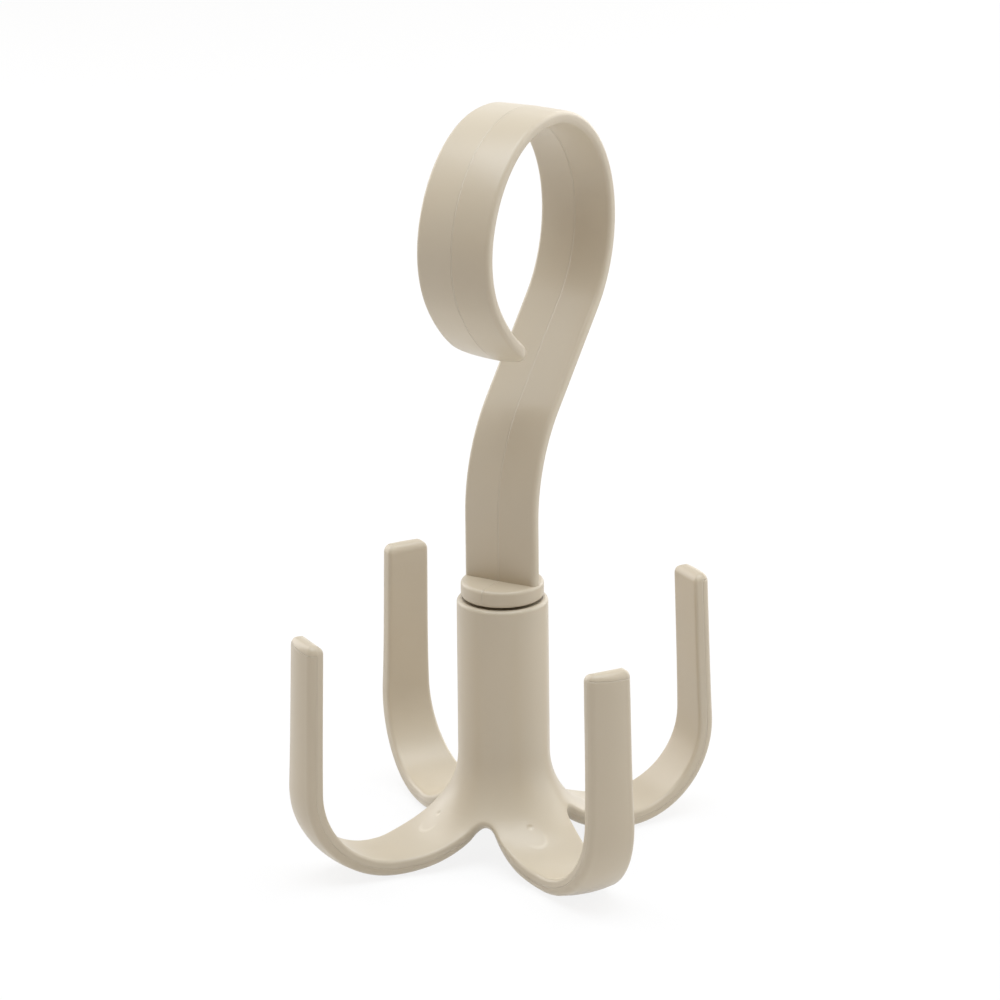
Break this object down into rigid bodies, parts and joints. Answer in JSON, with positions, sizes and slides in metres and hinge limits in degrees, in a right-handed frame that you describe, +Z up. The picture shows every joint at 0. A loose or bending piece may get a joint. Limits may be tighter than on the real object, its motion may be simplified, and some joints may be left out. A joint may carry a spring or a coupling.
{
  "type": "hanging hook",
  "caption": "Swivel hanging hook for a wardrobe rail: a broad flat strap loop turns on a flared tube whose wall opens into upturned claws for bags, ties and scarves.",
  "frame": {"origin": "on the swivel axis, level with the lowest faces of the claws", "axes": "+Z up along the swivel axis, +X along one claw, the others along +Y, -X and -Y; the strap hook stands turned 32.8 degrees from +X at rest, as in the picture"},
  "size_m": [0.1102, 0.1102, 0.1794],
  "materials": {
    "cream_plastic": "satin",
    "cream_plastic_hook": "satin",
    "zinc_steel": "zinc plated",
    "zinc_steel_screw": "zinc plated"
  },
  "bodies": {
    "claws": {"claw_hub": "cream_plastic"},
    "hook": {"suspension_hook": "cream_plastic_hook", "swivel_washer": "zinc_steel", "retaining_screw": "zinc_steel_screw"}
  },
  "joints": [
    {"name": "hook_swivel", "type": "hinge", "parent": "claws", "child": "hook", "pos_m": [0, 0, 0.0602], "axis": [0, 0, 1], "continuous": true}
  ]
}
